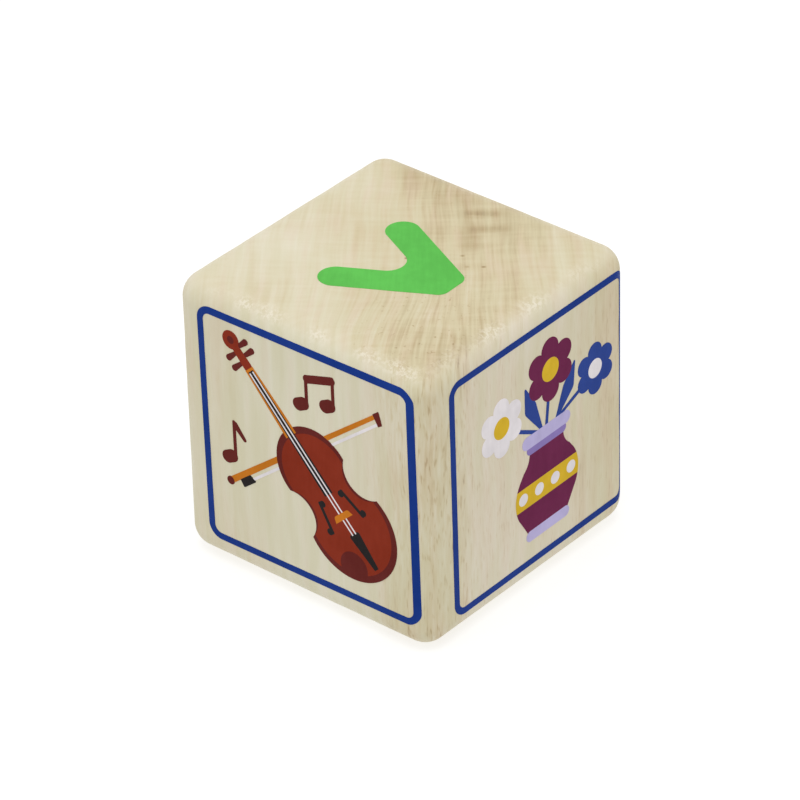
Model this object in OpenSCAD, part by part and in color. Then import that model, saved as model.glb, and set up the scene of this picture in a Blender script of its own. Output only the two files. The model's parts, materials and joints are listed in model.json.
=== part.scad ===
// Alphabet block: a solid wooden cube with sanded edges, a plain letter on its top and bottom, and a framed
// picture on each of its four sides. Each colour of ink is its own thin layer, sunk flush into the wood.
// The origin is the middle of the underside, +Z is up, -Y is the front and +X is the right side.

/* [Block] */
// Side of the wooden cube
side = 40; // [32:0.5:60]
// Radius of the sanded edges and corners
edge_r = 3.3; // [2:0.1:3.6]
// How deep the printing ink sinks into the wood
ink_depth = 0.15; // [0.1:0.01:0.3]

/* [Frames] */
// Distance from the sides of a face to the middle of its frame's line
frame_margin = 3.45; // [3.2:0.05:3.9]
// Width of the frame's line
frame_line = 0.95; // [0.8:0.05:1.4]
// Radius of the frame's outer corners
frame_r = 2; // [1.6:0.1:4]

/* [Registration] */
// How far the front print sits to the right of and above the middle of its face
front_shift = [1.32, 0.7]; // [-1.4:0.02:1.4]
// How far the front print is turned
front_turn = 0.6; // [-2:0.1:2]
// How far the right print sits to the right of and above the middle of its face
right_shift = [1.96, 0.2]; // [-2:0.02:2]
// How far the right print is turned
right_turn = 0.55; // [-2:0.05:2]
// How far the back print sits to the right of and above the middle of its face
back_shift = [-0.6, 0.4]; // [-1.4:0.1:1.4]
// How far the back print is turned
back_turn = -0.5; // [-2:0.1:2]
// How far the left print sits to the right of and above the middle of its face
left_shift = [0.8, -0.2]; // [-1.4:0.1:1.4]
// How far the left print is turned
left_turn = 0.4; // [-2:0.1:2]

/* [Letters] */
// Height of the capital letter on the top
capital_h = 15.5; // [14:0.5:18]
// Height of the small letter on the bottom
small_h = 12.5; // [11:0.5:15]
// Width of the capital letter
capital_w = 17.6; // [16:0.2:22]
// Width of the small letter
small_w = 15; // [13:0.5:18]
// Width of a letter's strokes
stroke_w = 4.4; // [3.6:0.1:5]
// Width of the flat under a letter's foot
foot_flat = 2.6; // [2:0.1:3.4]
// Corner radius of the letter's blunt foot
foot_r = 1.6; // [0.8:0.1:2]
// Radius of the notch between the strokes
notch_r = 2.4; // [1:0.1:3]
// Place of the capital letter on the top face
capital_at = [1.6, -1.2]; // [-3:0.1:3]
// How far the capital letter is turned from square to the block
capital_turn = 1.4; // [-3:0.1:3]
// Place of the small letter on the bottom face
small_at = [0.6, -0.4]; // [-3:0.1:3]

/* [Violin picture] */
// Width of the bare wood left between the picture and its frame
violin_gap = 2; // [1.6:0.1:4]
// Angle of the violin from upright
violin_tilt = 42; // [40:1:46]
// Angle of the bow from level
bow_tilt = 38; // [35:1:42]

/* [Vase picture] */
// Width of the bare wood left between the picture and its frame
vase_gap = 2; // [1.6:0.1:4]

/* [Van picture] */
// Width of the bare wood left between the picture and its frame
van_gap = 2.4; // [1.6:0.1:4]

/* [Volcano picture] */
// Width of the bare wood left between the picture and its frame
volcano_gap = 2.4; // [1.6:0.1:4]

/* [Hidden] */
$fn = 96;
overrun = 1;
field_w = side - 2 * frame_margin;
function room_inside(gap) = field_w - frame_line - 2 * gap;
violin_room = room_inside(violin_gap);
vase_room = room_inside(vase_gap);
// Arcs that round a corner swell by this share, so that they cross the straight sides instead of only touching them
swell_share = 1.002;

// A picture's length and place are in shares of the room inside its frame, and all else in it is in shares of its own
// length. An outline is rows of x, y and corner radius, anticlockwise, and a half outline is its right half, from the
// bottom up. Dots are rows of x, y and radius, and strokes are rows of x, y and radius at one end and then at the
// other.
violin_length_share = 1.288;
violin_middle_share = 0.5;
violin_place_shares = [-0.022, 0.05];
violin_bout_shares = [[0, 0.2, 0.2], [0, 0.435, 0.165]];
violin_middle_half_shares = [[0.17, 0.262, 0], [0.145, 0.408, 0]];
violin_waist_shares = [[0.22, 0.337, 0.098]];
violin_plate_middle_share = 0.3;
violin_plate_share = 0.91;
fingerboard_half_shares = [[0.023, 0.34, 0], [0.0145, 0.83, 0]];
tailpiece_half_shares = [[0.011, 0.04, 0], [0.028, 0.185, 0.01]];
neck_half_shares = [[0.03, 0.575, 0], [0.021, 0.84, 0]];
pegbox_half_shares = [[0.017, 0.82, 0], [0.02, 0.85, 0], [0.017, 0.93, 0]];
bridge_half_shares = [[0.05, 0.242, 0], [0.04, 0.266, 0.012]];
scroll_shares = [[0, 0.955, 0.036]];
scroll_eye_shares = [[0, 0.955, 0.015]];
chinrest_shares = [[-0.095, 0.085, 0.06]];
f_hole_shares = [[0.092, 0.222, 0.007, 0.066, 0.33, 0.007]];
f_hole_dot_shares = [[0.102, 0.229, 0.013], [0.056, 0.323, 0.013]];
peg_shares = [[-0.062, 0.868, 0.012], [0.062, 0.885, 0.012], [-0.058, 0.908, 0.012], [0.058, 0.922, 0.012]];
string_shares = [-0.009, 0.009];
string_line_share = 0.0065;
string_reach_shares = [0.18, 0.825];

bow_length_share = 1.127;
bow_middle_share = 0.5;
bow_place_shares = [0.007, 0.054];
bow_stick_shares = [[0.01, 0.036, 0.014, 0.97, 0.034, 0.009]];
bow_hair_shares = [[0.1, 0.002, 0.006, 0.965, 0.002, 0.006]];
bow_frog_shares = [[0.055, -0.012, 0.006], [0.138, -0.012, 0.006], [0.125, 0.024, 0], [0.06, 0.024, 0]];
bow_head_shares = [[0.952, -0.008, 0], [0.975, -0.01, 0], [0.998, 0.046, 0.004], [0.96, 0.046, 0]];
bow_screw_shares = [[0.004, 0.036, 0.019]];

note_height_share = 0.197;
joined_notes_place_shares = [-0.036, 0.303];
single_note_place_shares = [-0.469, -0.137];
joined_note_shares = [
    [0, 0, 0.16, 0.14, 0.07, 0.16], [0.77, 0.23, 0.16, 0.91, 0.3, 0.16],
    [0.24, 0.09, 0.046, 0.24, 0.8, 0.046], [1.01, 0.32, 0.046, 1.01, 1.02, 0.046],
    [0.27, 0.745, 0.103, 0.98, 0.957, 0.103],
];
single_note_shares = [
    [0, 0, 0.16, 0.14, 0.07, 0.16], [0.24, 0.09, 0.046, 0.24, 1, 0.046], [0.275, 0.94, 0.08, 0.54, 0.63, 0.046],
];

vase_height_share = 0.555;
vase_middle_share = 0.884;
vase_place_shares = [0.043, 0.011];
vase_half_shares = [[0.22, 0.04, 0], [0.46, 0.44, 0.34], [0.27, 0.7, 0], [0.27, 0.88, 0]];
vase_neck_shares = [[0.4, 0.83, 0.19]];
vase_foot_shares = [[-0.22, 0.05, 0.05, 0.22, 0.05, 0.05]];
vase_lip_shares = [[-0.24, 0.94, 0.06, 0.24, 0.94, 0.06]];
vase_collar_shares = [[-0.2, 0.86, 0.045, 0.2, 0.86, 0.045]];
vase_band_shares = [[-0.5, 0.34, 0], [0.5, 0.34, 0], [0.5, 0.54, 0], [-0.5, 0.54, 0]];
vase_spot_shares = [[-0.3, 0.44, 0.055], [-0.1, 0.44, 0.055], [0.1, 0.44, 0.055], [0.3, 0.44, 0.055]];
// Flowers are rows of x and y in shares of the vase's height, and a size in shares of the largest flower
plum_flower_shares = [[0.06, 1.48, 1]];
white_flower_shares = [[-0.55, 1.25, 0.92]];
blue_flower_shares = [[0.62, 1.2, 0.82]];
largest_flower_share = 0.29;
petals = 6;
petal_share = 0.36;
petal_ring_share = 0.64;
flower_eye_share = 0.36;
stem_shares = [
    [0, 0.97, 0.017, 0.06, 1.46, 0.017], [-0.09, 0.97, 0.017, -0.52, 1.2, 0.017],
    [0.1, 0.97, 0.017, 0.58, 1.16, 0.017],
];
leaf_shares = [
    [-0.06, 0.99, 0.015, -0.19, 1.24, 0.07], [-0.19, 1.24, 0.07, -0.25, 1.44, 0.01],
    [0.13, 0.99, 0.015, 0.28, 1.21, 0.07], [0.28, 1.21, 0.07, 0.36, 1.4, 0.01],
];

van_middle_shares = [0.5, 0.28];
van_place_share = -0.033;
van_body_shares = [
    [0.01, 0.1, 0.03], [1, 0.1, 0.03], [1, 0.56, 0.07], [0.33, 0.56, 0.05], [0.19, 0.345, 0], [0, 0.3, 0.05],
];
van_cab_window_shares = [[0.25, 0.34, 0.01], [0.47, 0.34, 0.01], [0.47, 0.505, 0.015], [0.355, 0.505, 0.02]];
van_side_window_shares = [[0.52, 0.34, 0.015], [0.93, 0.34, 0.015], [0.93, 0.505, 0.03], [0.52, 0.505, 0.015]];
van_stripe_shares = [[-0.1, 0.235, 0], [1.1, 0.235, 0], [1.1, 0.275, 0], [-0.1, 0.275, 0]];
van_arch_shares = [[0.23, 0.1, 0.118], [0.76, 0.1, 0.118]];
van_tyre_shares = [[0.23, 0.1, 0.098], [0.76, 0.1, 0.098]];
van_hub_shares = [[0.23, 0.1, 0.046], [0.76, 0.1, 0.046]];
van_lamp_shares = [[0.055, 0.195, 0.026]];
van_door_shares = [[0.495, 0.14, 0.004, 0.495, 0.52, 0.004], [0.44, 0.3, 0.009, 0.465, 0.3, 0.009]];

volcano_middle_share = 0.47;
volcano_place_share = 0.044;
volcano_half_shares = [[0.5, 0, 0], [0.2, 0.5, 0]];
volcano_hollow_shares = [[1.043, 0.73, 0.922]];
crater_shares = [[-0.135, 0.495, 0.025, 0.135, 0.495, 0.025]];
lava_shares = [
    [-0.11, 0.5, 0.038, -0.135, 0.34, 0.03], [0, 0.5, 0.05, -0.01, 0.17, 0.04], [0.11, 0.5, 0.038, 0.125, 0.28, 0.032],
];
jet_half_shares = [[0.035, 0.48, 0], [0.11, 0.76, 0.08]];
spark_shares = [
    [-0.2, 0.66, 0.022], [0.21, 0.63, 0.026], [-0.3, 0.79, 0.018], [0.32, 0.76, 0.02], [0.27, 0.88, 0.016],
];
smoke_shares = [
    [-0.12, 0.79, 0.085], [0.02, 0.84, 0.11], [0.15, 0.78, 0.08], [-0.05, 0.93, 0.07], [0.1, 0.93, 0.075],
];
meadow_shares = [[-0.47, -0.03, 0.03, 0.47, -0.03, 0.03]];

violin_len = violin_length_share * violin_room;
bow_len = bow_length_share * violin_room;
note_h = note_height_share * violin_room;
vase_h = vase_height_share * vase_room;
flower_r = largest_flower_share * vase_h;
van_len = room_inside(van_gap);
volcano_w = room_inside(volcano_gap);

// A half outline followed by its mirror image, from the top down
function both_halves(half) = concat(half, [for (i = [len(half) - 1 : -1 : 0]) [-half[i][0], half[i][1], half[i][2]]]);

// Dots on the right, with the same dots on the left
function both_sides(rows) = concat(rows, [for (row = rows) [-row[0], row[1], row[2]]]);

function unit_vector(v) = v / norm(v);

// The region inside an outline, with its corners rounded
module outline(rows, unit) {
    n = len(rows);
    corner = [for (row = rows) [row[0], row[1]] * unit];
    back = [for (i = [0 : n - 1]) unit_vector(corner[(i + n - 1) % n] - corner[i])];
    ahead = [for (i = [0 : n - 1]) unit_vector(corner[(i + 1) % n] - corner[i])];
    half_angle = [for (i = [0 : n - 1]) acos(back[i] * ahead[i]) / 2];
    reach = [for (i = [0 : n - 1]) rows[i][2] * unit / tan(half_angle[i])];
    polygon([
        for (i = [0 : n - 1])
            each (rows[i][2] > 0 ? [corner[i] + back[i] * reach[i], corner[i] + ahead[i] * reach[i]] : [corner[i]])
    ]);
    for (i = [0 : n - 1]) if (rows[i][2] > 0)
        translate(corner[i] + unit_vector(back[i] + ahead[i]) * rows[i][2] * unit / sin(half_angle[i]))
            circle(r = rows[i][2] * unit * swell_share);
}

// A round dot for each row of x, y and radius
module dots(rows, unit) {
    for (row = rows) translate([row[0], row[1]] * unit) circle(r = row[2] * unit);
}

// A round-ended stroke for each row of x, y and radius at one end and at the other
module strokes(rows, unit) {
    for (row = rows) {
        a = [row[0], row[1]] * unit;
        b = [row[3], row[4]] * unit;
        ra = row[2] * unit;
        rb = row[5] * unit;
        along = atan2(b[1] - a[1], b[0] - a[0]);
        lean = acos((ra - rb) / norm(b - a));
        translate(a) circle(r = ra * swell_share);
        translate(b) circle(r = rb * swell_share);
        polygon([
            a + ra * [cos(along - lean), sin(along - lean)], b + rb * [cos(along - lean), sin(along - lean)],
            b + rb * [cos(along + lean), sin(along + lean)], a + ra * [cos(along + lean), sin(along + lean)],
        ]);
    }
}

// Square with round corners
module round_square(w, r) {
    square([w, w - 2 * r], center = true);
    square([w - 2 * r, w], center = true);
    for (x = [-1, 1], y = [-1, 1]) translate([x, y] * (w / 2 - r)) circle(r = r);
}

// Outside of a round corner, to be cut from the corner of a cube
module corner_waste(r) {
    difference() {
        cube(r + overrun);
        sphere(r = r);
    }
}

// Cube with round edges and ball-shaped corners, set in by an equal depth all over
module blank(inset) {
    w = side - 2 * inset;
    r = edge_r - inset;
    translate([0, 0, side / 2]) difference() {
        intersection() {
            linear_extrude(height = w, center = true) round_square(w, r);
            rotate([90, 0, 0]) linear_extrude(height = w, center = true) round_square(w, r);
            rotate([0, 90, 0]) linear_extrude(height = w, center = true) round_square(w, r);
        }
        for (x = [0, 1], y = [0, 1], z = [0, 1]) mirror([x, 0, 0]) mirror([0, y, 0]) mirror([0, 0, z])
            translate([1, 1, 1] * (w / 2 - r)) corner_waste(r);
    }
}

// Places a drawing on a side of the block, where turn 0 is the front and 90 the right side
module on_side(turn, shift, twist) {
    rotate([0, 0, turn]) translate([shift[0], -side / 2, side / 2 + shift[1]]) rotate([90, 0, 0]) rotate(twist)
        children();
}

module on_front() { on_side(0, front_shift, front_turn) children(); }
module on_right() { on_side(90, right_shift, right_turn) children(); }
module on_back() { on_side(180, back_shift, back_turn) children(); }
module on_left() { on_side(270, left_shift, left_turn) children(); }
module on_top() { translate([capital_at[0], capital_at[1], side]) rotate(90 + capital_turn) children(); }
module on_bottom() { rotate([180, 0, 0]) translate(small_at) children(); }

// Ink of one colour in the flat of a face
module ink() { translate([0, 0, -ink_depth]) linear_extrude(height = ink_depth) children(); }

// Cut that leaves room for the ink
module ink_pocket() { translate([0, 0, -ink_depth]) linear_extrude(height = ink_depth + overrun) children(); }

// Prism through the frame that reaches past the round of the edges
module frame_prism() {
    translate([0, 0, -edge_r]) linear_extrude(height = edge_r + overrun) difference() {
        round_square(field_w + frame_line, frame_r);
        round_square(field_w - frame_line, frame_r - frame_line);
    }
}

// The block's outermost layer, as deep as the ink
module skin() {
    difference() {
        blank(0);
        blank(ink_depth);
    }
}

// Plain V with round stroke ends, a blunt foot and a round notch
module letter(h, w) {
    tip = [w - stroke_w, h - stroke_w] / 2;
    foot = [foot_flat / 2, foot_r - h / 2];
    rise = tip - foot;
    lean = atan2(rise[0], rise[1]) + asin((stroke_w / 2 - foot_r) / norm(rise));
    outer = [cos(lean), -sin(lean)];
    notch = [0, tip[1] + (stroke_w / 2 + notch_r - tip[0] * cos(lean)) / sin(lean)];
    right = [
        foot - [0, foot_r], foot + foot_r * outer, tip + stroke_w / 2 * outer, tip - stroke_w / 2 * outer,
        notch + notch_r * outer,
    ];
    left = [for (i = [len(right) - 1 : -1 : 0]) [-right[i][0], right[i][1]]];
    difference() {
        union() {
            for (x = [0, 1]) mirror([x, 0]) {
                translate(tip) circle(r = stroke_w / 2 * swell_share);
                translate(foot) circle(r = foot_r * swell_share);
            }
            polygon(concat(right, left));
        }
        translate(notch) circle(r = notch_r * swell_share);
    }
}

// Violin and its bow, piece by piece
module in_violin() {
    translate(violin_place_shares * violin_room) rotate(violin_tilt)
        translate([0, -violin_middle_share * violin_len]) children();
}
module in_bow() {
    translate(bow_place_shares * violin_room) rotate(bow_tilt)
        translate([-bow_middle_share * bow_len, 0]) children();
}
module violin_outline() {
    difference() {
        union() {
            dots(violin_bout_shares, violin_len);
            outline(both_halves(violin_middle_half_shares), violin_len);
        }
        dots(both_sides(violin_waist_shares), violin_len);
    }
}
module violin_plate() {
    middle = [0, violin_plate_middle_share * violin_len];
    translate(middle) scale(violin_plate_share) translate(-middle) violin_outline();
}
module violin_scroll() {
    outline(both_halves(pegbox_half_shares), violin_len);
    dots(scroll_shares, violin_len);
}
module violin_pegs() {
    for (row = peg_shares) strokes([[row[0], row[1], row[2], 0, row[1], row[2] / 2]], violin_len);
}
module violin_neck() { outline(both_halves(neck_half_shares), violin_len); }
module violin_bridge() { outline(both_halves(bridge_half_shares), violin_len); }
module violin_fittings() {
    outline(both_halves(fingerboard_half_shares), violin_len);
    outline(both_halves(tailpiece_half_shares), violin_len);
    for (x = [0, 1]) mirror([x, 0]) {
        strokes(f_hole_shares, violin_len);
        dots(f_hole_dot_shares, violin_len);
    }
}
module violin_chinrest() { dots(chinrest_shares, violin_len); }
module violin_strings() {
    for (x = string_shares)
        translate([x - string_line_share / 2, string_reach_shares[0]] * violin_len)
            square([string_line_share, string_reach_shares[1] - string_reach_shares[0]] * violin_len);
}
module violin_shape() {
    violin_outline();
    violin_neck();
    violin_scroll();
    violin_pegs();
}
module bow_head_and_screw() {
    outline(bow_head_shares, bow_len);
    dots(bow_screw_shares, bow_len);
}
module bow_shape() {
    strokes(bow_stick_shares, bow_len);
    strokes(bow_hair_shares, bow_len);
    outline(bow_frog_shares, bow_len);
    bow_head_and_screw();
}

module notes() {
    translate(joined_notes_place_shares * violin_room) strokes(joined_note_shares, note_h);
    translate(single_note_place_shares * violin_room) strokes(single_note_shares, note_h);
}

// Vase and its flowers, piece by piece
module in_vase() {
    translate(vase_place_shares * vase_room - [0, vase_middle_share * vase_h]) children();
}
module vase_body() {
    difference() {
        outline(both_halves(vase_half_shares), vase_h);
        dots(both_sides(vase_neck_shares), vase_h);
    }
}
module vase_trim() {
    strokes(vase_foot_shares, vase_h);
    strokes(vase_lip_shares, vase_h);
}
module vase_band() {
    intersection() {
        outline(vase_band_shares, vase_h);
        vase_body();
    }
}
module flowers(rows) {
    for (row = rows) translate([row[0], row[1]] * vase_h)
        for (i = [1 : petals]) rotate(i * 360 / petals) translate([0, petal_ring_share * flower_r * row[2]])
            circle(r = petal_share * flower_r * row[2]);
    for (row = rows) translate([row[0], row[1]] * vase_h) circle(r = petal_ring_share * flower_r * row[2]);
}
module flower_eyes(rows) {
    for (row = rows) translate([row[0], row[1]] * vase_h) circle(r = flower_eye_share * flower_r * row[2]);
}
module all_flowers() {
    flowers(plum_flower_shares);
    flowers(white_flower_shares);
    flowers(blue_flower_shares);
}
module leaves_and_stems() {
    strokes(stem_shares, vase_h);
    strokes(leaf_shares, vase_h);
}
module vase_shape() {
    vase_body();
    vase_trim();
    strokes(vase_collar_shares, vase_h);
}

// Van, piece by piece
module in_van() { translate([0, van_place_share * van_len] - van_middle_shares * van_len) children(); }
module van_body() { outline(van_body_shares, van_len); }
module van_windows() {
    outline(van_cab_window_shares, van_len);
    outline(van_side_window_shares, van_len);
}
module van_stripe() {
    intersection() {
        outline(van_stripe_shares, van_len);
        van_body();
    }
}
module van_arches() {
    intersection() {
        dots(van_arch_shares, van_len);
        van_body();
    }
}

// Volcano, piece by piece
module in_volcano() { translate([0, (volcano_place_share - volcano_middle_share) * volcano_w]) children(); }
module volcano_slopes() {
    difference() {
        outline(both_halves(volcano_half_shares), volcano_w);
        dots(both_sides(volcano_hollow_shares), volcano_w);
    }
}
module volcano_lava() {
    strokes(crater_shares, volcano_w);
    strokes(lava_shares, volcano_w);
    outline(both_halves(jet_half_shares), volcano_w);
}
module volcano_smoke() { dots(smoke_shares, volcano_w); }

module capital_letter() { color("#5cc754") on_top() ink() letter(capital_h, capital_w); }

module small_letter() { color("#5cc754") on_bottom() ink() letter(small_h, small_w); }

module front_frame() {
    color("#1f3c8c") intersection() {
        on_front() frame_prism();
        skin();
    }
}

module violin_rust() {
    color("#822a22") on_front() ink() in_violin() difference() {
        union() {
            violin_plate();
            violin_scroll();
        }
        violin_fittings();
        violin_chinrest();
        violin_bridge();
        violin_strings();
        violin_neck();
        dots(scroll_eye_shares, violin_len);
    }
}

module violin_maroon() {
    color("#5e2020") on_front() ink() {
        in_violin() {
            difference() {
                violin_outline();
                difference() {
                    violin_plate();
                    violin_chinrest();
                }
                violin_neck();
                violin_fittings();
            }
            difference() {
                violin_pegs();
                violin_scroll();
            }
            dots(scroll_eye_shares, violin_len);
        }
        difference() {
            in_bow() bow_head_and_screw();
            in_violin() violin_shape();
        }
        difference() {
            notes();
            in_violin() violin_shape();
            in_bow() bow_shape();
        }
    }
}

module violin_orange() {
    color("#c77a22") on_front() ink() {
        in_violin() {
            violin_bridge();
            difference() {
                violin_neck();
                violin_fittings();
            }
        }
        difference() {
            in_bow() strokes(bow_stick_shares, bow_len);
            in_bow() bow_head_and_screw();
            in_bow() outline(bow_frog_shares, bow_len);
            in_violin() violin_shape();
        }
    }
}

module violin_black() {
    color("#1c1a1a") on_front() ink() {
        in_violin() difference() {
            violin_fittings();
            violin_strings();
        }
        in_bow() outline(bow_frog_shares, bow_len);
    }
}

module violin_white() {
    color("#e8e2e4") on_front() ink() {
        in_violin() difference() {
            violin_strings();
            violin_bridge();
        }
        difference() {
            in_bow() strokes(bow_hair_shares, bow_len);
            in_bow() bow_head_and_screw();
            in_bow() outline(bow_frog_shares, bow_len);
            in_violin() violin_shape();
        }
    }
}

module right_frame() {
    color("#1f3c8c") intersection() {
        on_right() frame_prism();
        skin();
    }
}

module vase_plum() {
    color("#6a1f4a") on_right() ink() in_vase() {
        difference() {
            vase_body();
            vase_trim();
            strokes(vase_collar_shares, vase_h);
            vase_band();
        }
        difference() {
            flowers(plum_flower_shares);
            flower_eyes(plum_flower_shares);
        }
    }
}

module vase_lavender() {
    color("#b9b0d8") on_right() ink() in_vase() vase_trim();
}

module vase_collar() {
    color("#8a78b5") on_right() ink() in_vase() difference() {
        strokes(vase_collar_shares, vase_h);
        vase_trim();
    }
}

module flower_yellow() {
    color("#d8b02a") on_right() ink() in_vase() {
        difference() {
            vase_band();
            dots(vase_spot_shares, vase_h);
        }
        flower_eyes(plum_flower_shares);
        flower_eyes(white_flower_shares);
    }
}

module flower_white() {
    color("#e8e2e4") on_right() ink() in_vase() {
        dots(vase_spot_shares, vase_h);
        difference() {
            flowers(white_flower_shares);
            flower_eyes(white_flower_shares);
        }
        flower_eyes(blue_flower_shares);
    }
}

module flower_blue() {
    color("#2a4796") on_right() ink() in_vase() {
        difference() {
            leaves_and_stems();
            vase_shape();
            all_flowers();
        }
        difference() {
            flowers(blue_flower_shares);
            flower_eyes(blue_flower_shares);
        }
    }
}

module back_frame() {
    color("#1f3c8c") intersection() {
        on_back() frame_prism();
        skin();
    }
}

module van_rust() {
    color("#822a22") on_back() ink() in_van() difference() {
        van_body();
        van_windows();
        van_stripe();
        dots(van_arch_shares, van_len);
        dots(van_lamp_shares, van_len);
        strokes(van_door_shares, van_len);
    }
}

module van_orange() {
    color("#c77a22") on_back() ink() in_van() difference() {
        van_stripe();
        strokes(van_door_shares, van_len);
    }
}

module van_maroon() {
    color("#5e2020") on_back() ink() in_van() {
        difference() {
            van_arches();
            dots(van_tyre_shares, van_len);
        }
        strokes(van_door_shares, van_len);
    }
}

module van_black() {
    color("#1c1a1a") on_back() ink() in_van() difference() {
        dots(van_tyre_shares, van_len);
        dots(van_hub_shares, van_len);
    }
}

module van_white() {
    color("#e8e2e4") on_back() ink() in_van() {
        van_windows();
        dots(van_hub_shares, van_len);
    }
}

module van_yellow() { color("#d8b02a") on_back() ink() in_van() dots(van_lamp_shares, van_len); }

module left_frame() {
    color("#1f3c8c") intersection() {
        on_left() frame_prism();
        skin();
    }
}

module volcano_maroon() {
    color("#5e2020") on_left() ink() in_volcano() difference() {
        volcano_slopes();
        volcano_lava();
    }
}

module volcano_orange() { color("#c77a22") on_left() ink() in_volcano() volcano_lava(); }

module volcano_yellow() { color("#d8b02a") on_left() ink() in_volcano() dots(spark_shares, volcano_w); }

module volcano_lavender() {
    color("#b9b0d8") on_left() ink() in_volcano() difference() {
        volcano_smoke();
        volcano_lava();
    }
}

module volcano_green() {
    color("#5cc754") on_left() ink() in_volcano() difference() {
        strokes(meadow_shares, volcano_w);
        volcano_slopes();
    }
}

module wood_block() {
    color("#e0d6b8") difference() {
        blank(0);
        difference() {
            union() {
                on_front() frame_prism();
                on_right() frame_prism();
                on_back() frame_prism();
                on_left() frame_prism();
            }
            blank(ink_depth);
        }
        on_top() ink_pocket() letter(capital_h, capital_w);
        on_bottom() ink_pocket() letter(small_h, small_w);
        on_front() ink_pocket() {
            in_violin() violin_shape();
            in_bow() bow_shape();
            notes();
        }
        on_right() ink_pocket() in_vase() {
            vase_shape();
            leaves_and_stems();
            all_flowers();
        }
        on_back() ink_pocket() in_van() {
            van_body();
            dots(van_tyre_shares, van_len);
        }
        on_left() ink_pocket() in_volcano() {
            volcano_slopes();
            volcano_lava();
            volcano_smoke();
            dots(spark_shares, volcano_w);
            strokes(meadow_shares, volcano_w);
        }
    }
}

wood_block();
capital_letter();
small_letter();
front_frame();
violin_rust();
violin_maroon();
violin_orange();
violin_black();
violin_white();
right_frame();
vase_plum();
vase_lavender();
vase_collar();
flower_yellow();
flower_white();
flower_blue();
back_frame();
van_rust();
van_orange();
van_maroon();
van_black();
van_white();
van_yellow();
left_frame();
volcano_maroon();
volcano_orange();
volcano_yellow();
volcano_lavender();
volcano_green();
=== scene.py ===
# %% [markdown]
# # A printed wooden alphabet block
#
# The block is a 40 mm cube of pale hardwood with sanded edges. A factory saws it from a square stick, rounds its edges
# on a sanding belt, and prints spot colours of ink on its faces: a green letter on the top and bottom, and a blue
# frame with a picture in it on each side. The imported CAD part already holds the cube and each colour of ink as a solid
# of its own, so this lesson only has to bring the real surfaces: uneven sanding, wood grain and ink.

import json
from math import cos, radians, sin

import bpy
from mathutils import Matrix, Vector


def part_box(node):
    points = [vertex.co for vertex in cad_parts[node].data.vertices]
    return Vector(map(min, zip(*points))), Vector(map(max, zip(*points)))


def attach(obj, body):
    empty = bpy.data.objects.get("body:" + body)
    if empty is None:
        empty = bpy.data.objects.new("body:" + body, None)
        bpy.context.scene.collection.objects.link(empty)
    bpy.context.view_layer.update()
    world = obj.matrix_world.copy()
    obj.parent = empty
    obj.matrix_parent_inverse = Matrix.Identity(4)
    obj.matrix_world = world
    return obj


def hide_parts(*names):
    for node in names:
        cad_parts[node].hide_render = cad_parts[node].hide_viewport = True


MM = 0.001

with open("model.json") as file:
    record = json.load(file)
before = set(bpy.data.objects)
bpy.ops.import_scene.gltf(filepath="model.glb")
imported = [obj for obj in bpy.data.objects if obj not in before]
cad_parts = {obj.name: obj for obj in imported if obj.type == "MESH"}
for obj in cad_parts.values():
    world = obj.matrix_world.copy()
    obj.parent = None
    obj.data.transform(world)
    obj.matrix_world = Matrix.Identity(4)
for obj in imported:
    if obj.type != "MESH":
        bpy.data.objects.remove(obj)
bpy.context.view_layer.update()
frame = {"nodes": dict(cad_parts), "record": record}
block_low, block_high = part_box("wood_block")
block_side = block_high.z - block_low.z
block_middle = (block_low + block_high) / 2
print(f"The block is {block_side / MM:.1f} mm high and has {len(frame['nodes'])} CAD nodes")

# %% [markdown]
# ## The camera
#
# The photograph looks down on the near corner from far away through a long lens, so the upright edges stay nearly
# parallel. The camera is made before anything else, because every later choice is judged through it. Its direction is
# given by the two angles a photographer would name, and a small roll, since the real camera wasn't quite level.

# %% Choose the view
VIEW_AZIMUTH = radians(40.75)
VIEW_ELEVATION = radians(33.05)
VIEW_ROLL = radians(-1.555)
VIEW_DISTANCE = 15.9 * block_side
AIM_OFF_MIDDLE = Vector((-0.37, -0.50, -0.44)) * MM
LENS_MM = 230.3
SENSOR_MM = 36

towards_camera = Vector(
    (
        sin(VIEW_AZIMUTH) * cos(VIEW_ELEVATION),
        -cos(VIEW_AZIMUTH) * cos(VIEW_ELEVATION),
        sin(VIEW_ELEVATION),
    )
)
level_right = Vector((cos(VIEW_AZIMUTH), sin(VIEW_AZIMUTH), 0))
level_up = towards_camera.cross(level_right)
camera_right = level_right * cos(VIEW_ROLL) + level_up * sin(VIEW_ROLL)
camera_up = towards_camera.cross(camera_right)

# %% Place the camera
camera_data = bpy.data.cameras.new("photo_camera")
camera_data.lens = LENS_MM
camera_data.sensor_width = SENSOR_MM
camera_data.sensor_fit = "HORIZONTAL"
camera_data.clip_start = block_side
camera_data.clip_end = 1000 * block_side
camera = bpy.data.objects.new("photo_camera", camera_data)
camera_turn = Matrix((camera_right, camera_up, towards_camera)).transposed().to_4x4()
camera_spot = block_middle + AIM_OFF_MIDDLE + towards_camera * VIEW_DISTANCE
camera.matrix_world = Matrix.Translation(camera_spot) @ camera_turn
bpy.context.scene.collection.objects.link(camera)
bpy.context.scene.camera = camera
print(f"The camera stands {VIEW_DISTANCE / MM:.0f} mm away")

# %% [markdown]
# ## A short way to write node trees
#
# Materials and Geometry Nodes are both trees of nodes. `Value` wraps one output, and its + - * / add the Math nodes
# that do the sum, so a recipe reads like the formula it is. `Tree.add` makes any other node: first its settings, such
# as an operation or the stops of a colour ramp, then the values or links of its inputs.


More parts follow.
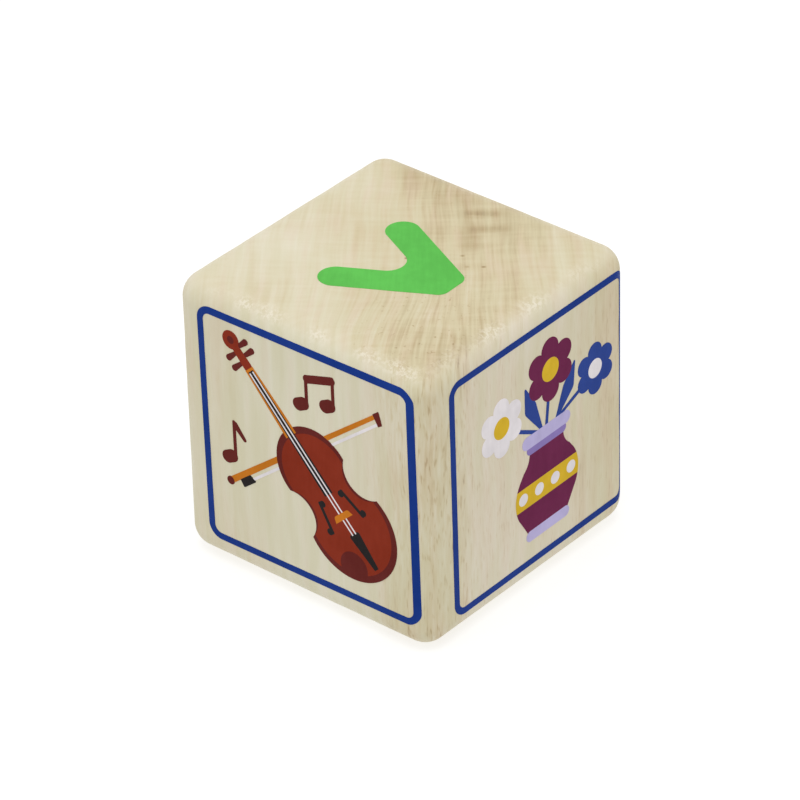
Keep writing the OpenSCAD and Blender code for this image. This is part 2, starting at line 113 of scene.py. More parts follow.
# %% Wrap an output
class Value:
    """Something coming out of a node. Sums on it add Math nodes to its tree."""

    def __init__(self, tree, socket):
        self.tree = tree
        self.socket = socket

    def math(self, operation, *others):
        return self.tree.math(operation, self, *others)

    def __add__(self, other):
        return self.math("ADD", other)

    def __sub__(self, other):
        return self.math("SUBTRACT", other)

    def __mul__(self, other):
        return self.math("MULTIPLY", other)

    def __truediv__(self, other):
        return self.math("DIVIDE", other)

    def __rsub__(self, other):
        return self.tree.math("SUBTRACT", other, self)

    __radd__ = __add__
    __rmul__ = __mul__


# %% Wrap a tree
class Tree:
    """A node tree that is filled by writing recipes."""

    def __init__(self, group):
        self.nodes = group.nodes
        self.links = group.links

    def add(self, kind, settings=None, inputs=None, output=0):
        """A new node, as the value of the output that is asked for.

        Inputs and outputs go by name, or by their number among those the settings leave in use.
        """
        node = self.nodes.new(kind)
        for name, setting in (settings or {}).items():
            if name == "stops":
                self.lay_stops(node.color_ramp.elements, setting)
            else:
                setattr(node, name, setting)
        used_inputs = [socket for socket in node.inputs if socket.enabled]
        used_outputs = [socket for socket in node.outputs if socket.enabled]
        for name, source in (inputs or {}).items():
            socket = used_inputs[name] if isinstance(name, int) else node.inputs[name]
            if isinstance(source, Value):
                self.links.new(source.socket, socket)
            else:
                socket.default_value = source
        if not used_outputs:
            return None
        asked = used_outputs[output] if isinstance(output, int) else node.outputs[output]
        return Value(self, asked)

    @staticmethod
    def lay_stops(elements, stops):
        """Colours at their places, from 0 to 1, in a ramp that starts with two."""
        for element, (position, colour) in zip(elements, (stops[0], stops[-1])):
            element.position, element.color = position, colour
        for position, colour in stops[1:-1]:
            elements.new(position).color = colour

    def math(self, operation, *sources):
        return self.add("ShaderNodeMath", {"operation": operation}, dict(enumerate(sources)))

    def vector(self, operation, *sources):
        return self.add("ShaderNodeVectorMath", {"operation": operation}, dict(enumerate(sources)))

    def join(self, x, y, z):
        return self.add("ShaderNodeCombineXYZ", None, {0: x, 1: y, 2: z})

    def split(self, vector):
        """The x, y and z of a vector."""
        first = self.add("ShaderNodeSeparateXYZ", None, {0: vector})
        return [Value(self, output) for output in first.socket.node.outputs]

    def band(self, value, low, high):
        """0 where value is low or less, 1 where it is high or more, and a soft step between."""
        settings = {"interpolation_type": "SMOOTHSTEP"}
        inputs = {"Value": value, "From Min": low, "From Max": high}
        return self.add("ShaderNodeMapRange", settings, inputs)

    def noise(self, vector, scale=1.0, detail=1.0, roughness=0.5):
        inputs = {"Vector": vector, "Scale": scale, "Detail": detail, "Roughness": roughness}
        return self.add("ShaderNodeTexNoise", None, inputs)

    def mix(self, share, first, second):
        """A colour between first and second, by share."""
        return self.add("ShaderNodeMix", {"data_type": "RGBA"}, {0: share, 1: first, 2: second})


# %% Write colours as they are read off a screen
def linear(red, green, blue):
    """A colour given as 0 to 255 on a screen, as the linear colour that a shader takes."""
    shares = [channel / 255 for channel in (red, green, blue)]
    return (*(s / 12.92 if s <= 0.04045 else ((s + 0.055) / 1.055) ** 2.4 for s in shares), 1.0)


print("Screen grey 128 is", round(linear(128, 128, 128)[0], 3), "in a shader")

# %% [markdown]
# ## Where a point was in the tree
#
# The faces are one piece of pale hardwood, cut with its grain upright: the top and bottom are end grain, and the
# sides show the same rays and pores lengthwise. One solid recipe, read at each point's place in the block, gives both
# at once. A photograph wrapped round the cube would show seams at the edges, and a recipe for each face would not meet
# at them. So the recipe first asks where a point was in the trunk: its reach out from the pith along the rays, its arc
# round the pith, and its height. The rays bend a little where the tree grew round something.

# %% Find a point's place in the trunk
HALF_SIDE_MM = block_side / MM / 2
RAY_HEADING = Vector((0.62, -0.785)).normalized()
RING_HEADING = Vector((-RAY_HEADING.y, RAY_HEADING.x))
PITH_DISTANCE_MM = 300
NOISE_MIDDLE = 0.5
WAVER_MM = 1.4
WAVER_SCALE = 0.08
BEND_MM = 2.6
BEND_ALONG_MM = (4, 25)
BEND_LEFT_MM = (-14, -4)
BEND_RIGHT_MM = (-1, 11)
BLOB_CORE = 0.1


class Spot:
    """One point of the wood, as values in a tree: its place in the block and trunk, in mm."""

    def __init__(self, tree):
        self.tree = tree
        coordinates = tree.add("ShaderNodeTexCoord", None, None, "Object")
        self.place = tree.vector("SCALE", coordinates, 1 / MM)
        self.x, self.y, self.height = tree.split(self.place)
        waver = (tree.noise(self.place, WAVER_SCALE) - NOISE_MIDDLE) * WAVER_MM
        along = self.x * RAY_HEADING.x + self.y * RAY_HEADING.y + waver
        across = self.y * RAY_HEADING.x - self.x * RAY_HEADING.y + waver
        bent = tree.band(across, *BEND_LEFT_MM) * (1 - tree.band(across, *BEND_RIGHT_MM))
        across = across + tree.band(along, *BEND_ALONG_MM) * bent * BEND_MM
        from_pith = along + PITH_DISTANCE_MM
        self.arc = across.math("ARCTAN2", from_pith) * PITH_DISTANCE_MM
        self.reach = (from_pith * from_pith + across * across).math("SQRT")

    def grain(self, size_mm, detail=1.0):
        """Noise from 0 to 1, mostly near the middle, with grains of this arc, reach and height."""
        arc, reach, height = size_mm
        stretched = self.tree.join(self.arc / arc, self.reach / reach, self.height / height)
        return self.tree.noise(stretched, 1.0, detail)

    def blob(self, centre, heading, half_length, half_width):
        """1 at the middle of a spot that runs along the heading and up the trunk, 0 outside it."""
        out_x, out_y = self.x - centre[0], self.y - centre[1]
        lengthwise = (out_x * heading.x + out_y * heading.y) / half_length
        crosswise = (out_y * heading.x - out_x * heading.y) / half_width
        spread = (lengthwise * lengthwise + crosswise * crosswise).math("SQRT")
        return 1 - self.tree.band(spread, BLOB_CORE, 1.0)

    def depth_from_end(self):
        """How deep the point lies under the nearer end of the block, in mm."""
        return HALF_SIDE_MM - (self.height - HALF_SIDE_MM).math("ABSOLUTE")


print(f"The rays run {RAY_HEADING.x:.2f} along x for {RAY_HEADING.y:.2f} along y")

# %% [markdown]
# ## The grain
#
# The tone is a sum of stretched noises, from cloudy patches down to single fibres. Most are far longer up the trunk and
# along the rays than across them, and the growth rings run round the pith instead. The grain is coarsest in the strip
# of heartwood that runs up the near corner, and there the open pores show as dark dots on the end and as short dashes
# on the sides.

# %% Size the grains
# Round the pith, along the rays and up the trunk
BROAD_GRAIN_MM = (1.3, 26, 30)
MEDIUM_GRAIN_MM = (0.7, 13, 11)
FINE_GRAIN_MM = (0.3, 7, 3.4)
THREAD_MM = (0.13, 4, 5)
DASH_MM = (0.17, 3, 1.9)
PORE_MM = (0.42, 0.6, 2.6)
RING_MM = (6, 0.8, 60)
CLOUD_SCALE = 0.07
print(f"Across the rays, threads are {THREAD_MM[0]} mm wide and broad grain {BROAD_GRAIN_MM[0]} mm")

# %% Choose how strong each grain is
MEAN_SHADE = 0.73
CLOUD_SWING, BROAD_SWING, MEDIUM_SWING = 0.2, 0.18, 0.13
FINE_SWING, RING_SWING, THREAD_SWING = 0.2, 0.12, 0.12
COARSE_START_ARC_MM = (-2, 5)
COARSE_END_ARC_MM, COARSE_FADE = (9, 24), 0.6
FINE_EVERYWHERE, FINE_MORE_IN_HEART, FINE_MORE_WHERE_COARSE = 0.5, 0.95, 0.4
THREADS_EVERYWHERE = 0.5
DASHES_FROM, DASHES_EVERYWHERE, DASHES_MORE_WHERE_COARSE = (0.55, 0.74), 0.06, 0.25
PORES_FROM, PORES_EVERYWHERE, PORES_MORE_IN_HEART = (0.61, 0.82), 0.06, 0.4
print(f"The grain swings about a shade of {MEAN_SHADE}, where 0 is tan and 1 is cream")


# %% Add up the grain
def centred(noise, amount):
    """Noise as a swing of amount to both sides of zero."""
    return (noise - NOISE_MIDDLE) * (2 * amount)


def add_grain(tree, spot, heart, end_face):
    """The shade of the bare grain, and its fine grain, pores and rings by themselves."""
    side_face = 1 - end_face
    coarse = tree.band(spot.arc, *COARSE_START_ARC_MM)
    coarse = coarse * (1 - tree.band(spot.arc, *COARSE_END_ARC_MM) * COARSE_FADE)
    cloud = tree.noise(spot.place, CLOUD_SCALE)
    broad = spot.grain(BROAD_GRAIN_MM)
    medium = spot.grain(MEDIUM_GRAIN_MM)
    fine = spot.grain(FINE_GRAIN_MM)
    threads = spot.grain(THREAD_MM)
    dashes = spot.grain(DASH_MM)
    pores = spot.grain(PORE_MM, detail=2.0)
    rings = spot.grain(RING_MM, detail=2.0)
    shade = MEAN_SHADE + centred(cloud, CLOUD_SWING)
    shade = shade + centred(broad, BROAD_SWING) + centred(medium, MEDIUM_SWING)
    fine_share = heart * FINE_MORE_IN_HEART + coarse * FINE_MORE_WHERE_COARSE + FINE_EVERYWHERE
    shade = shade + centred(fine, FINE_SWING) * fine_share + centred(rings, RING_SWING)
    shade = shade + centred(threads, THREAD_SWING) * side_face * (coarse + THREADS_EVERYWHERE)
    dash_share = coarse * DASHES_MORE_WHERE_COARSE + DASHES_EVERYWHERE
    shade = shade - tree.band(dashes, *DASHES_FROM) * side_face * dash_share
    pore_share = heart * PORES_MORE_IN_HEART + PORES_EVERYWHERE
    shade = shade - tree.band(pores, *PORES_FROM) * pore_share
    return shade, fine, pores, rings


# %% [markdown]
# ## Marks in the wood
#
# End grain drinks lacquer, so it turns browner in streaks where the fibres are open. This block also has smudges along
# its rings, two dark ones near the far edge and two faint ones nearer the middle, a short smear beside the letter and a
# few dark specks. Each is a soft spot with a place of its own on the top. They fade below it, because a stain only
# soaks in so deep.

# %% Place the marks
SOAKED_ARC_MM, SOAKED_HALF_WIDTH_MM, SOAKED_DARKNESS = 9, (4, 17), 0.26
FAR_SOAK_PLACE_MM, FAR_SOAK_HEADING = (-8, 17), Vector((1, -0.15))
FAR_SOAK_SIZE_MM, FAR_SOAK_DARKNESS = (15, 7), 0.16
SMEAR_PLACE_MM, SMEAR_SIZE_MM, SMEAR_DARKNESS = (3.4, 9), (6, 2.4), 0.16
SMEAR_ON_FINE_GRAIN = (0.3, 0.6)
SMUDGES = (((1.1, 14.5), 0.3), ((4.2, 12.3), 0.27), ((5.0, 7.9), 0.12), ((7.6, 3.7), 0.1))
SMUDGE_SIZE_MM, SMUDGE_HEIGHT_MM = (4.0, 1.5), (26, 30)
SMUDGE_ON_RINGS = (0.15, 0.6)
SPECKS = (((0.4, 0.6), 0.8), ((5.4, 5.2), 0.35), ((9.1, 4.8), 0.4), ((7.5, 3.6), 0.2))
SPECK_SIZE_MM, SPECK_HEIGHT_MM = (0.45, 0.35), (37, 39)
print(f"{len(SMUDGES)} smudges and {len(SPECKS)} specks are set")


# %% Darken the marks
def darken_marks(tree, spot, end_face, fine, rings):
    """How much darker the marks make the wood."""
    soaked = 1 - tree.band((spot.arc - SOAKED_ARC_MM).math("ABSOLUTE"), *SOAKED_HALF_WIDTH_MM)
    far_soak = spot.blob(FAR_SOAK_PLACE_MM, FAR_SOAK_HEADING, *FAR_SOAK_SIZE_MM)
    smear = spot.blob(SMEAR_PLACE_MM, RAY_HEADING, *SMEAR_SIZE_MM)
    smear = smear * tree.band(fine, *SMEAR_ON_FINE_GRAIN)
    stained = soaked * SOAKED_DARKNESS + far_soak * FAR_SOAK_DARKNESS + smear * SMEAR_DARKNESS
    darker = end_face * stained
    in_reach = tree.band(spot.height, *SMUDGE_HEIGHT_MM) * tree.band(rings, *SMUDGE_ON_RINGS)
    for centre, darkness in SMUDGES:
        smudge = spot.blob(centre, RING_HEADING, *SMUDGE_SIZE_MM)
        darker = darker + smudge * in_reach * darkness
    on_top = tree.band(spot.height, *SPECK_HEIGHT_MM)
    for centre, darkness in SPECKS:
        speck = spot.blob(centre, RING_HEADING, *SPECK_SIZE_MM)
        darker = darker + speck * on_top * darkness
    return darker


# %% [markdown]
# ## The wood's colours
#
# The shade is read off a ramp from tan to cream. The sides look paler towards the middle of each face, where the belt
# polished them, and stay yellower at the near corner. They are a little darker on the near upright edge, low down
# beside it, and at the far upright edge on the right. Weak bands of rose and green keep the cream from being one hue.

# %% Choose the wood's colours
WOOD_SHADES = (
    (0.0, linear(150, 122, 86)),
    (0.25, linear(192, 171, 132)),
    (0.5, linear(215, 200, 164)),
    (0.75, linear(226, 216, 188)),
    (1.0, linear(234, 227, 206)),
)
WOOD_ROSE = linear(226, 204, 182)
WOOD_GREEN = linear(217, 212, 176)
PALE_ROSE = linear(233, 221, 203)
PALE_GREEN = linear(236, 234, 213)
print(f"The wood has {len(WOOD_SHADES)} shades from tan to cream")

# %% Place the pale and dark parts
PALE_ROSE_ARC_MM = (-6, 6)
PALE_EVERYWHERE, PALE_MORE_IN_MIDDLE = 0.02, 0.44
FAR_CORNERS_MM, FAR_CORNERS_FADE = (23, 35), 0.8
NEAR_CORNER_MM, LOW_PART_MM, LOW_CORNER_DARKNESS = (4, 11), (2, 28), 0.21
NEAR_EDGE_MM, NEAR_EDGE_DARKNESS = (1.95, 2.5), 0.13
DULL_CORNER_MM, DULL_SPREAD_MM, DULL_DARKNESS = (20, 20), 12, 0.16
TINT_GRAIN_MM = (1.6, 9, 20)
ROSE_FROM, ROSE_ON_SIDES, ROSE_MORE_ON_ENDS = (0.5, 0.75), 0.16, 0.06
GREEN_UP_TO, GREEN_ON_SIDES, GREEN_LESS_ON_ENDS = (0.3, 0.65), 0.45, 0.15
print(f"The rose and green bands are {TINT_GRAIN_MM[0]} mm wide")


# %% Mix the colours
def colour_wood(tree, spot, shade, end_face):
    """The wood's colour from its shade."""
    side_face = 1 - end_face
    from_near_corner = (HALF_SIDE_MM - spot.x) + (spot.y + HALF_SIDE_MM)
    inward = tree.band(from_near_corner, *NEAR_CORNER_MM)
    middle = inward * (1 - tree.band(from_near_corner, *FAR_CORNERS_MM) * FAR_CORNERS_FADE)
    low_corner = (1 - inward) * (1 - tree.band(spot.height, *LOW_PART_MM))
    dull_corner = spot.blob(DULL_CORNER_MM, RING_HEADING, DULL_SPREAD_MM, DULL_SPREAD_MM)
    near_edge = 1 - tree.band(from_near_corner, *NEAR_EDGE_MM)
    darker = low_corner * LOW_CORNER_DARKNESS + dull_corner * DULL_DARKNESS
    shade = shade - side_face * (darker + near_edge * NEAR_EDGE_DARKNESS)
    colour = tree.add("ShaderNodeValToRGB", {"stops": WOOD_SHADES}, {"Fac": shade})
    pale = tree.mix(tree.band(spot.arc, *PALE_ROSE_ARC_MM), PALE_GREEN, PALE_ROSE)
    pale_share = side_face * (middle * PALE_MORE_IN_MIDDLE + PALE_EVERYWHERE)
    colour = tree.mix(pale_share, colour, pale)
    tint = spot.grain(TINT_GRAIN_MM)
    rosy = tree.band(tint, *ROSE_FROM) * (end_face * ROSE_MORE_ON_ENDS + ROSE_ON_SIDES)
    colour = tree.mix(rosy, colour, WOOD_ROSE)
    not_green = tree.band(tint, *GREEN_UP_TO)
    green_share = (1 - not_green) * (GREEN_ON_SIDES - end_face * GREEN_LESS_ON_ENDS)
    return tree.mix(green_share, colour, WOOD_GREEN)


# %% [markdown]
# ## Worn edges with painted sheen
#
# Where the belt crosses the ends of the fibres it bruises them, so the rounded edges round the top and bottom are
# paler, with strings of whitish flecks. Part of this paleness is painted sheen, and part of the flecks are painted
# highlights of the satin lacquer. The near edges have them in the places seen in the photograph, and fainter ones are
# scattered round the other edges.

# %% Place the flecks
# The fleck colour is partly pale bruised wood and partly a painted highlight of the lacquer
FLECK_AND_GLINT_COLOUR = linear(243, 235, 215)
FLECK_AND_GLINT_PLACES_MM = (
    ((-9, -19), 2.5),
    ((-5.2, -19), 3.6),
    ((2.6, -19), 2.6),
    ((10.4, -19), 3.4),
    ((15.6, -19), 5),
    ((19.4, -5.4), 4),
    ((19, 2.4), 4),
)
SCATTER_SCALE, SCATTER_FROM, SCATTER_STRENGTH = 0.25, (0.42, 0.66), 0.45
FLECK_SCALE, FLECK_DETAIL, FLECK_ROUGHNESS, FLECK_FROM = 1.9, 3.0, 0.7, (0.44, 0.6)
FLECK_AND_GLINT_WHITENESS = 0.75
print(f"The flecks gather in {len(FLECK_AND_GLINT_PLACES_MM)} places")

# %% Fleck the edges
WEAR_AND_SHEEN_STARTS_IN_MM, WEAR_AND_SHEEN_ENDS_IN_MM = (0.2, 0.9), (1.2, 3.4)
WEAR_AND_SHEEN_DEPTH_MM = (0.6, 1.9)
WEAR_AND_SHEEN_WHITENESS = 0.12


def fleck_edges(tree, spot, colour):
    """The colour with its sanded, bruised edges and painted sheen, and where the flecks and painted glints are."""
    in_x = HALF_SIDE_MM - spot.x.math("ABSOLUTE")
    in_y = HALF_SIDE_MM - spot.y.math("ABSOLUTE")
    in_side = in_x.math("MINIMUM", in_y)
    near_side = tree.band(in_side, *WEAR_AND_SHEEN_STARTS_IN_MM)
    near_side = near_side * (1 - tree.band(in_side, *WEAR_AND_SHEEN_ENDS_IN_MM))
    wear_and_sheen = near_side * (1 - tree.band(spot.depth_from_end(), *WEAR_AND_SHEEN_DEPTH_MM))
    scatter = tree.noise(spot.place, SCATTER_SCALE)
    clusters = tree.band(scatter, *SCATTER_FROM) * SCATTER_STRENGTH
    for centre, spread in FLECK_AND_GLINT_PLACES_MM:
        clusters = clusters.math("MAXIMUM", spot.blob(centre, RING_HEADING, spread, spread))
    torn = tree.noise(spot.place, FLECK_SCALE, FLECK_DETAIL, FLECK_ROUGHNESS)
    flecks = tree.band(torn, *FLECK_FROM) * clusters * wear_and_sheen
    # This whitening is partly paler bruised wood and partly painted sheen and painted highlights of the lacquer
    wear_and_highlights = flecks * FLECK_AND_GLINT_WHITENESS + wear_and_sheen * WEAR_AND_SHEEN_WHITENESS
    return tree.mix(wear_and_highlights, colour, FLECK_AND_GLINT_COLOUR), flecks


print(f"The worn strip goes {WEAR_AND_SHEEN_ENDS_IN_MM[1]} mm in from the sides")

# %% [markdown]
# ## Satin lacquer over the wood
#
# A Principled shader takes the mixed colour. The lacquer is thin, so its gloss is weak, and duller where the flecks
# broke it. The grain only lifts the surface by hundredths of a millimetre, which a Bump node gives more cheaply than
# real vertices do.

# %% Start a material
def new_material(name):
    """An empty material, and the tree to fill."""
    material = bpy.data.materials.new(name)
    material.use_nodes = True
    material.node_tree.nodes.clear()
    return material, Tree(material.node_tree)


# %% Make the wood material
HEART_PLACE_MM, HEART_SIZE_MM, HEART_DARKNESS = (12, -11), (17, 13), 0.04
END_DEPTH_MM = (0.3, 1.5)
WOOD_ROUGHNESS, FINE_ROUGHENS, FLECKS_ROUGHEN = 0.47, 0.06, 0.2
WOOD_GLOSS = 0.2
WOOD_RELIEF, WOOD_BUMP = 0.05 * MM, 0.25
FINE_RELIEF, PORE_RELIEF, FLECK_RELIEF = 0.5, 0.3, 0.6


def make_wood():
    material, tree = new_material("pale_hardwood")
    spot = Spot(tree)
    heart = spot.blob(HEART_PLACE_MM, RAY_HEADING, *HEART_SIZE_MM)
    end_face = 1 - tree.band(spot.depth_from_end(), *END_DEPTH_MM)
    shade, fine, pores, rings = add_grain(tree, spot, heart, end_face)
    shade = shade - heart * HEART_DARKNESS - darken_marks(tree, spot, end_face, fine, rings)
    colour, flecks = fleck_edges(tree, spot, colour_wood(tree, spot, shade, end_face))
    relief = fine * FINE_RELIEF + pores * PORE_RELIEF + flecks * FLECK_RELIEF
    raised = {"Strength": WOOD_BUMP, "Distance": WOOD_RELIEF, "Height": relief}
    bump = tree.add("ShaderNodeBump", None, raised)
    lacquer = {
        "Base Color": colour,
        "Roughness": fine * FINE_ROUGHENS + flecks * FLECKS_ROUGHEN + WOOD_ROUGHNESS,
        "Specular IOR Level": WOOD_GLOSS,
        "Normal": bump,
    }
    shader = tree.add("ShaderNodeBsdfPrincipled", None, lacquer)
    tree.add("ShaderNodeOutputMaterial", None, {"Surface": shader})
    return material


wood = make_wood()
print(f"{wood.name} has {len(wood.node_tree.nodes)} nodes")

# %% [markdown]
# ## The sanded block
#
# The real cube's edges were rounded on a belt, so they are soft and a little uneven, and the ink stands on the wood by
# a hair. The shape follows a rule: take a fine grid on a cube, find for each point the nearest point of a smaller
# cube inside, and set it one edge radius away from that. Geometry Nodes does it for all points at once, and a little
# noise in the radius gives the uneven sanding. The radius itself is measured on the CAD block.

# %% Measure the rounded edges
FLAT_TOLERANCE = 0.001 * MM
cad_block = frame["nodes"]["wood_block"].data
top_height = block_high.z - FLAT_TOLERANCE
top_points = [vertex.co for vertex in cad_block.vertices if vertex.co.z > top_height]
edge_radius = block_high.x - max(point.x for point in top_points)
print(f"The edges are rounded to {edge_radius / MM:.2f} mm")

# %% Name the sanding tree's inputs
SANDING_INPUTS = (
    ("Side", "Float"),
    ("Edge radius", "Float"),
    ("Grid points", "Int"),
    ("Mean depth sanded", "Float"),
    ("Unevenness", "Float"),
    ("Patch size", "Float"),
    ("Finish", "Material"),
)


def new_sanding_tree():
    """An empty tree with its sizes as named inputs, and those inputs as values."""
    group = bpy.data.node_groups.new("sand_a_block", "GeometryNodeTree")
    group.interface.new_socket("Geometry", in_out="OUTPUT", socket_type="NodeSocketGeometry")
    for name, kind in SANDING_INPUTS:
        group.interface.new_socket(name, in_out="INPUT", socket_type=f"NodeSocket{kind}")
    given = group.nodes.new("NodeGroupInput").outputs
    tree = Tree(group)
    return group, tree, [Value(tree, given[name]) for name, kind in SANDING_INPUTS]


# %% Build the sanding tree
def make_sanding_tree():
    """The tree that sets each point of a grid cube on the sanded surface."""
    group, tree, given = new_sanding_tree()
    side, radius, points, mean_depth, unevenness, patch, finish = given
    grid = {"Size": tree.join(side, side, side)}
    grid.update({f"Vertices {axis}": points for axis in "XYZ"})
    cube = tree.add("GeometryNodeMeshCube", None, grid)
    place = tree.add("GeometryNodeInputPosition")
    core = side / 2 - radius
    core_high = tree.join(core, core, core)
    core_low = tree.vector("SCALE", core_high, -1.0)
    inner = tree.vector("MAXIMUM", tree.vector("MINIMUM", place, core_high), core_low)
    outward = tree.vector("NORMALIZE", tree.vector("SUBTRACT", place, inner))
    place_in_patches = tree.vector("DIVIDE", place, tree.join(patch, patch, patch))
    patches = tree.noise(place_in_patches, detail=2.0)
    depth = mean_depth + (patches - NOISE_MIDDLE) * unevenness * 2
    surface = tree.vector("ADD", inner, tree.vector("SCALE", outward, radius - depth))
    standing = tree.vector("ADD", surface, tree.join(0.0, 0.0, side / 2))
    moved = tree.add("GeometryNodeSetPosition", None, {"Geometry": cube, "Position": standing})
    smooth = tree.add("GeometryNodeSetShadeSmooth", None, {"Geometry": moved})
    solid = tree.add("GeometryNodeRealizeInstances", None, {"Geometry": smooth})
    finished = tree.add("GeometryNodeSetMaterial", None, {"Geometry": solid, "Material": finish})
    tree.add("NodeGroupOutput", None, {"Geometry": finished})
    return group


# %% Run a tree and keep its mesh
def grow(name, group, sizes):
    """A plain mesh object made by a Geometry Nodes tree with these sizes."""
    piece = bpy.data.objects.new(name, bpy.data.meshes.new(name))
    bpy.context.scene.collection.objects.link(piece)
    modifier = piece.modifiers.new("Grow", "NODES")
    modifier.node_group = group
    for item in group.interface.items_tree:
        if item.in_out == "INPUT":
            modifier[item.identifier] = sizes[item.name]
    depsgraph = bpy.context.evaluated_depsgraph_get()
    grown = bpy.data.meshes.new_from_object(piece.evaluated_get(depsgraph))
    piece.modifiers.remove(modifier)
    piece.data = grown
    return piece


# %% Make the sanded block
block_sizes = {
    "Side": block_side,
    "Edge radius": edge_radius,
    "Grid points": 121,
    "Mean depth sanded": 0.04 * MM,
    "Unevenness": 0.045 * MM,
    "Patch size": 5 * MM,
    "Finish": wood,
}
sanded_block = grow("sanded_block", make_sanding_tree(), block_sizes)
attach(sanded_block, "root")
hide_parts("wood_block")
print(f"The sanded block has {len(sanded_block.data.polygons)} faces")

# %% [markdown]
# ## The inks
#
# Each colour is printed from its own plate, so it lies on the wood as one even film. The CAD nodes already have these
# shapes, and only need a finish: the spot colour, a little thinner in patches and over the grain, and nearly matt.

# %% Choose the ink colours
INK_COLOURS = {
    "green_ink": linear(93, 187, 80),
    "frame_blue_ink": linear(17, 52, 131),
    "rust_ink": linear(134, 42, 18),
    "maroon_ink": linear(98, 30, 25),
    "orange_ink": linear(199, 117, 25),
    "black_ink": linear(30, 26, 26),
    "white_ink": linear(232, 226, 228),
    "plum_ink": linear(105, 25, 69),
    "lavender_ink": linear(185, 176, 216),
    "violet_ink": linear(138, 120, 181),
    "yellow_ink": linear(217, 179, 41),
    "flower_blue_ink": linear(38, 65, 142),
}
print(f"{len(INK_COLOURS)} inks are chosen")

# %% Choose how the film varies
INK_ROUGHNESS, MOTTLE_ROUGHENS = 0.42, 0.06
INK_GLOSS = 0.05
INK_RELIEF, INK_BUMP = 0.03 * MM, 0.15
INK_GRAIN_MM, GRAIN_SHARE = (0.5, 6, 4), 0.25
MOTTLE_SCALE, MOTTLE_DETAIL, MOTTLE_SHARE = 0.6, 3.0, 0.3
WASH_SCALE, WASH_SHARE = 0.12, 0.45
THIN_FILM_FROM, THIN_FILM_STRENGTH = (0.36, 0.66), 0.7
THIN_FILM_GAIN, THIN_FILM_LIFT = 1.22, 0.006


def thinned(colour):
    """The colour of a thinner film."""
    channels = (min(1.0, channel * THIN_FILM_GAIN + THIN_FILM_LIFT) for channel in colour[:3])
    return (*channels, 1.0)


print(f"A thin film is {THIN_FILM_GAIN} times as bright")


# %% Make the inks
def make_ink(name, colour):
    material, tree = new_material(name)
    spot = Spot(tree)
    grain = spot.grain(INK_GRAIN_MM, detail=2.0)
    mottle = tree.noise(spot.place, MOTTLE_SCALE, MOTTLE_DETAIL)
    wash = tree.noise(spot.place, WASH_SCALE)
    patchy = mottle * MOTTLE_SHARE + grain * GRAIN_SHARE + wash * WASH_SHARE
    thinness = tree.band(patchy, *THIN_FILM_FROM) * THIN_FILM_STRENGTH
    raised = {"Strength": INK_BUMP, "Distance": INK_RELIEF, "Height": grain}
    bump = tree.add("ShaderNodeBump", None, raised)
    film = {
        "Base Color": tree.mix(thinness, colour, thinned(colour)),
        "Roughness": mottle * MOTTLE_ROUGHENS + INK_ROUGHNESS,
        "Specular IOR Level": INK_GLOSS,
        "Normal": bump,
    }
    shader = tree.add("ShaderNodeBsdfPrincipled", None, film)
    tree.add("ShaderNodeOutputMaterial", None, {"Surface": shader})
    return material


inks = {name: make_ink(name, colour) for name, colour in INK_COLOURS.items()}
print(f"{len(inks)} inks are mixed")

# %% [markdown]
# ## Coat the printed nodes
#
# The record of the part names the finish of each node, so the inks go on by its list. The CAD block gets the wood too,
# although the sanded block stands for it.

# %% Coat them
finishes = {"wood": wood, **inks}
for subpart in frame["record"]["subparts"]:
    coats = frame["nodes"][subpart["node"]].data.materials
    coats.clear()
    coats.append(finishes[subpart["material_slot"]])

# %% [markdown]
# ## The studio
#
# The picture was taken in a light tent: white all round, a little brighter from above and in front, and no hard shadow.
# A white world gives the even part, and one wide lamp overhead the rest. The background is pure white for the camera
# and in reflections, while a slightly lower level lights the block, so that its pale wood doesn't wash out.

# %% Make the light tent
TENT_LEVEL = 0.764
WHITE = (1.0, 1.0, 1.0, 1.0)


def seen_directly(tree):
    """1 for the camera and for what mirrors and glass show it, 0 for light that falls on things."""
    kinds = ("Is Camera Ray", "Is Glossy Ray", "Is Transmission Ray")
    camera_ray, glossy_ray, clear_ray = (
        tree.add("ShaderNodeLightPath", None, None, kind) for kind in kinds
    )
    return camera_ray.math("MAXIMUM", glossy_ray).math("MAXIMUM", clear_ray)


world = bpy.data.worlds.new("light_tent")
world.use_nodes = True
world.node_tree.nodes.clear()
tent = Tree(world.node_tree)
tent_level = seen_directly(tent) * (1 - TENT_LEVEL) + TENT_LEVEL
tent_wall = tent.add("ShaderNodeBackground", None, {"Color": WHITE, "Strength": tent_level})
tent.add("ShaderNodeOutputWorld", None, {"Surface": tent_wall})
bpy.context.scene.world = world

# %% Hang the lamp
LAMP_WIDTH = 12 * block_side
LAMP_WATTS = 1.06
LAMP_PLACE = Vector((1, -2.4, 15.8)) * block_side

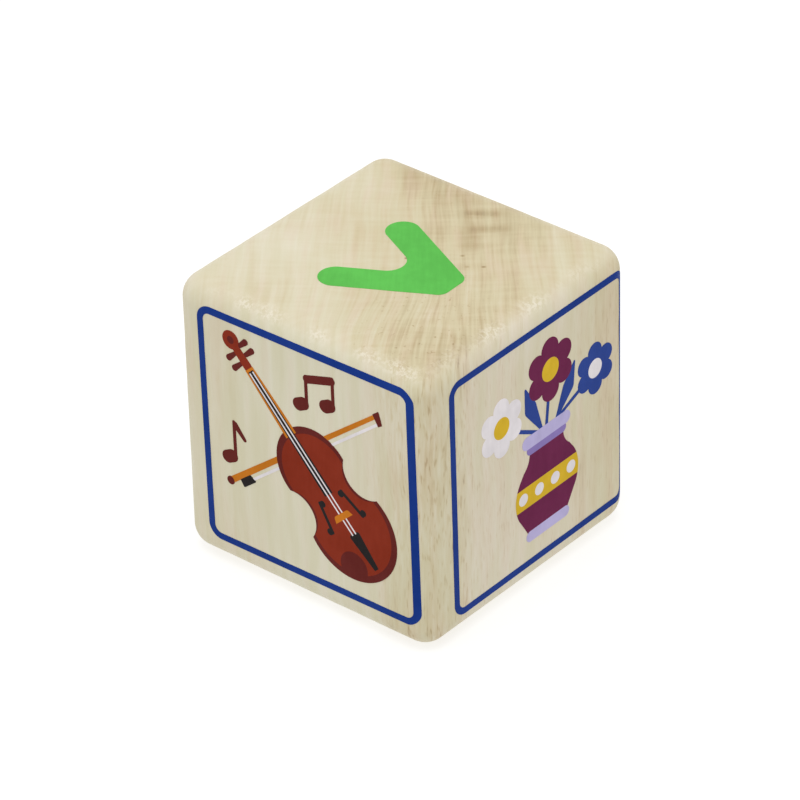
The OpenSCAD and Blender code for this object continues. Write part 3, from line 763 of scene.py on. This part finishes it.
lamp_data = bpy.data.lights.new("soft_lamp", "AREA")
lamp_data.shape = "DISK"
lamp_data.size = LAMP_WIDTH
lamp_data.energy = LAMP_WATTS
lamp = bpy.data.objects.new("soft_lamp", lamp_data)
lamp.location = block_middle + LAMP_PLACE
lamp.rotation_euler = LAMP_PLACE.to_track_quat("Z", "Y").to_euler()
bpy.context.scene.collection.objects.link(lamp)
print(f"The lamp is {LAMP_WIDTH / MM:.0f} mm wide")

# %% [markdown]
# ## The floor
#
# The floor is a matt sheet with a glow that only the camera and reflections see, so it comes out white and still
# darkens where the block shades it. It is left out of the light that reaches the block, and it can't be seen from
# behind, so that views from below work too.

# %% Lay the floor
FLOOR_HALF = 60 * block_side
FLOOR_DROP = 0.1 * MM
FLOOR_SIGNS = ((-1, -1), (1, -1), (1, 1), (-1, 1))

floor_mesh = bpy.data.meshes.new("floor")
floor_corners = [(x * FLOOR_HALF, y * FLOOR_HALF, -FLOOR_DROP) for x, y in FLOOR_SIGNS]
floor_mesh.from_pydata(floor_corners, [], [(0, 1, 2, 3)])
floor = bpy.data.objects.new("floor", floor_mesh)
bpy.context.scene.collection.objects.link(floor)
floor.visible_diffuse = False
floor.visible_shadow = False
print(f"The floor reaches {FLOOR_HALF / MM:.0f} mm to each side")

# %% Paint the floor
FLOOR_GREY = (0.5, 0.5, 0.5, 1.0)
FLOOR_GLOW = 0.62

floor_paint, paint = new_material("white_floor")
matt = paint.add("ShaderNodeBsdfDiffuse", None, {"Color": FLOOR_GREY})
glow_level = seen_directly(paint) * FLOOR_GLOW
glow = paint.add("ShaderNodeEmission", None, {"Color": WHITE, "Strength": glow_level})
lit = paint.add("ShaderNodeAddShader", None, {0: matt, 1: glow})
behind = paint.add("ShaderNodeNewGeometry", None, None, "Backfacing")
clear = paint.add("ShaderNodeBsdfTransparent")
sheet = paint.add("ShaderNodeMixShader", None, {0: behind, 1: lit, 2: clear})
paint.add("ShaderNodeOutputMaterial", None, {"Surface": sheet})
floor_mesh.materials.append(floor_paint)
print(f"The floor's glow is {FLOOR_GLOW} of a full white")

# %% [markdown]
# ## The colour view
#
# The picture uses the Standard view, which shows a colour as it was written.

# %% Set the colour view
bpy.context.scene.view_settings.view_transform = "Standard"
